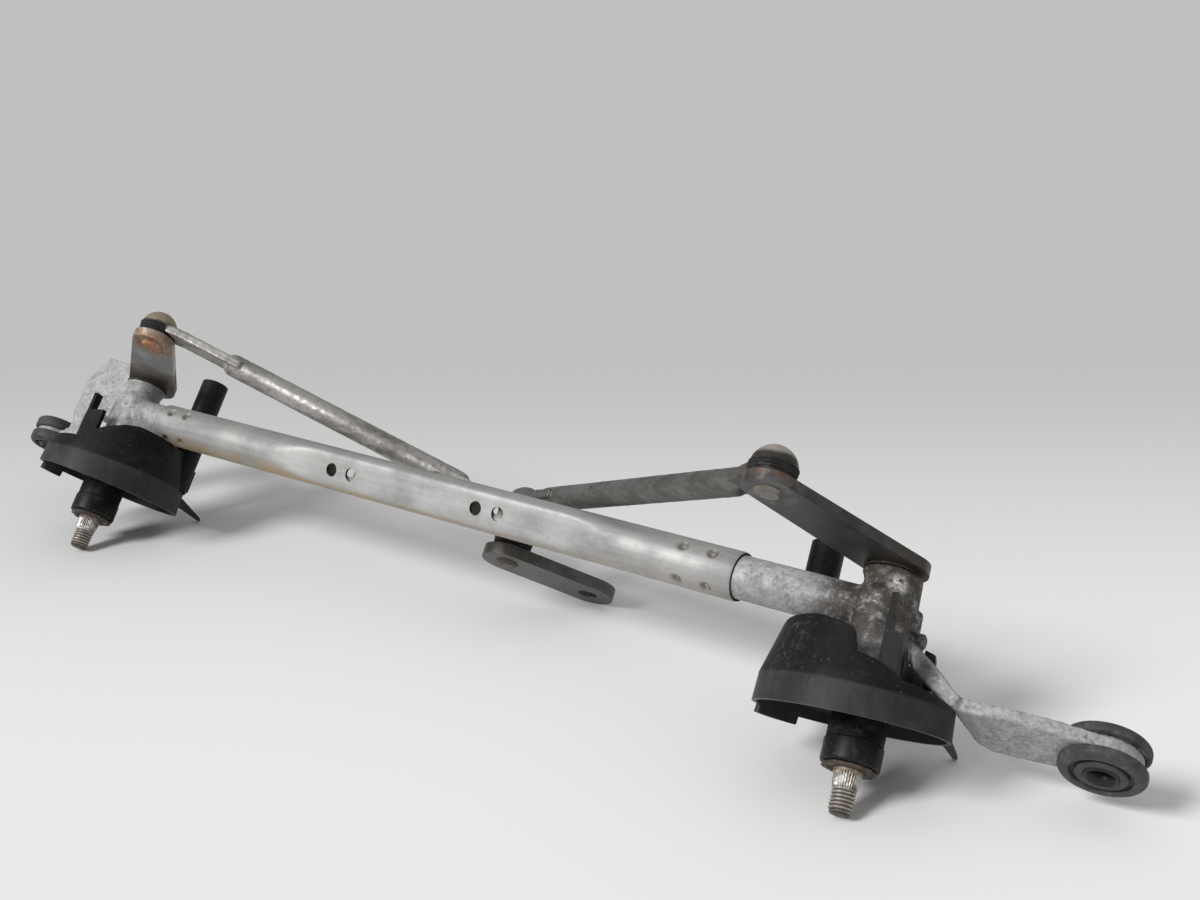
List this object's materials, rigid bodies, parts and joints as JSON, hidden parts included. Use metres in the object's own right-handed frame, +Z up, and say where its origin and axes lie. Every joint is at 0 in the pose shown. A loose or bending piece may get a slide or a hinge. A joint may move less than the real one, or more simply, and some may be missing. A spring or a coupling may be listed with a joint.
{
  "type": "wiper linkage",
  "caption": "Windscreen wiper linkage: cross tube with spindle housings, levers, ball-jointed connecting rods, a loose motor crank, rubber mounts and black plastic covers.",
  "frame": {"origin": "Centre of the bounding box in plan, on the bench that the linkage lies on.", "axes": "+X runs along the cross tube from the left spindle to the right one as pictured, +Z is up and +Y points away from the picture's viewer."},
  "size_m": [0.6586, 0.122, 0.1397],
  "materials": {
    "zinc_tube": "zinc plated, dull and worn",
    "cast_housing": "sand-grained casting, mottled with dirt",
    "bush_bronze": "sintered bronze",
    "black_cap": "satin black",
    "black_cover": "matt black with dust",
    "grommet_rubber": "matt, weathered",
    "sleeve_steel": "dull plated",
    "spindle_steel": "plated, spotted with rust",
    "lever_bare": "bare rolled plate, stained",
    "lever_dark": "dark phosphate",
    "stud_steel": "dull with rust stains",
    "washer_steel": "rusted",
    "rod_steel": "weathered grey brown",
    "seat_plastic": "natural nylon",
    "boot_rubber": "matt black",
    "crank_dark": "dark phosphate, worn"
  },
  "bodies": {
    "frame": {"frame_tube": "zinc_tube", "left_housing": "cast_housing", "right_housing": "cast_housing", "left_upper_bush": "bush_bronze", "left_lower_bush": "bush_bronze", "right_upper_bush": "bush_bronze", "right_lower_bush": "bush_bronze", "left_cap": "black_cap", "right_cap": "black_cap", "left_cover": "black_cover", "right_cover": "black_cover", "left_grommet": "grommet_rubber", "right_grommet": "grommet_rubber", "left_sleeve": "sleeve_steel", "right_sleeve": "sleeve_steel"},
    "left_spindle_set": {"left_spindle": "spindle_steel", "left_lever": "lever_bare", "left_lever_stud": "stud_steel", "left_washer": "washer_steel", "left_ring": "washer_steel"},
    "right_spindle_set": {"right_spindle": "spindle_steel", "right_lever": "lever_dark", "right_lever_stud": "stud_steel", "right_washer": "washer_steel", "right_ring": "washer_steel"},
    "left_rod_set": {"left_rod": "rod_steel", "left_outer_seat": "seat_plastic", "left_outer_boot": "boot_rubber", "left_inner_seat": "seat_plastic", "left_inner_boot": "boot_rubber"},
    "right_rod_set": {"right_rod": "rod_steel", "right_outer_seat": "seat_plastic", "right_outer_boot": "boot_rubber", "right_inner_seat": "seat_plastic", "right_inner_boot": "boot_rubber", "link_stud": "stud_steel"},
    "crank_set": {"motor_crank": "crank_dark", "crank_stud": "stud_steel"}
  },
  "joints": [
    {"name": "left_spindle_turn", "type": "hinge", "parent": "frame", "child": "left_spindle_set", "pos_m": [-0.24879, 0.00245, 0.06321], "axis": [-0.1454, 0.6718, 0.7263], "range_deg": [-18, 30]},
    {"name": "right_spindle_turn", "type": "hinge", "parent": "frame", "child": "right_spindle_set", "pos_m": [0.21921, 0.00245, 0.06321], "axis": [-0.1454, 0.6718, 0.7263], "range_deg": [-10.6, 16.9]},
    {"name": "left_rod_swing", "type": "hinge", "parent": "left_spindle_set", "child": "left_rod_set", "pos_m": [-0.20413, -0.00919, 0.12408], "axis": [-0.1454, 0.6718, 0.7263], "range_deg": [-36.7, 22.4]},
    {"name": "right_rod_swing", "type": "hinge", "parent": "right_spindle_set", "child": "right_rod_set", "pos_m": [0.18652, -0.03339, 0.13099], "axis": [-0.1454, 0.6718, 0.7263], "range_deg": [-21.6, 13.4]},
    {"name": "crank_swing", "type": "hinge", "parent": "left_rod_set", "child": "crank_set", "pos_m": [0.00774, 0.03093, 0.04068], "axis": [-0.1454, 0.6718, 0.7263], "range_deg": [-40, 60]}
  ],
  "couplings": [
    {"joint": "right_spindle_turn", "follows": "left_spindle_turn", "ratio": 0.531},
    {"joint": "left_rod_swing", "follows": "left_spindle_turn", "ratio": -1.189},
    {"joint": "right_rod_swing", "follows": "left_spindle_turn", "ratio": -0.688}
  ]
}
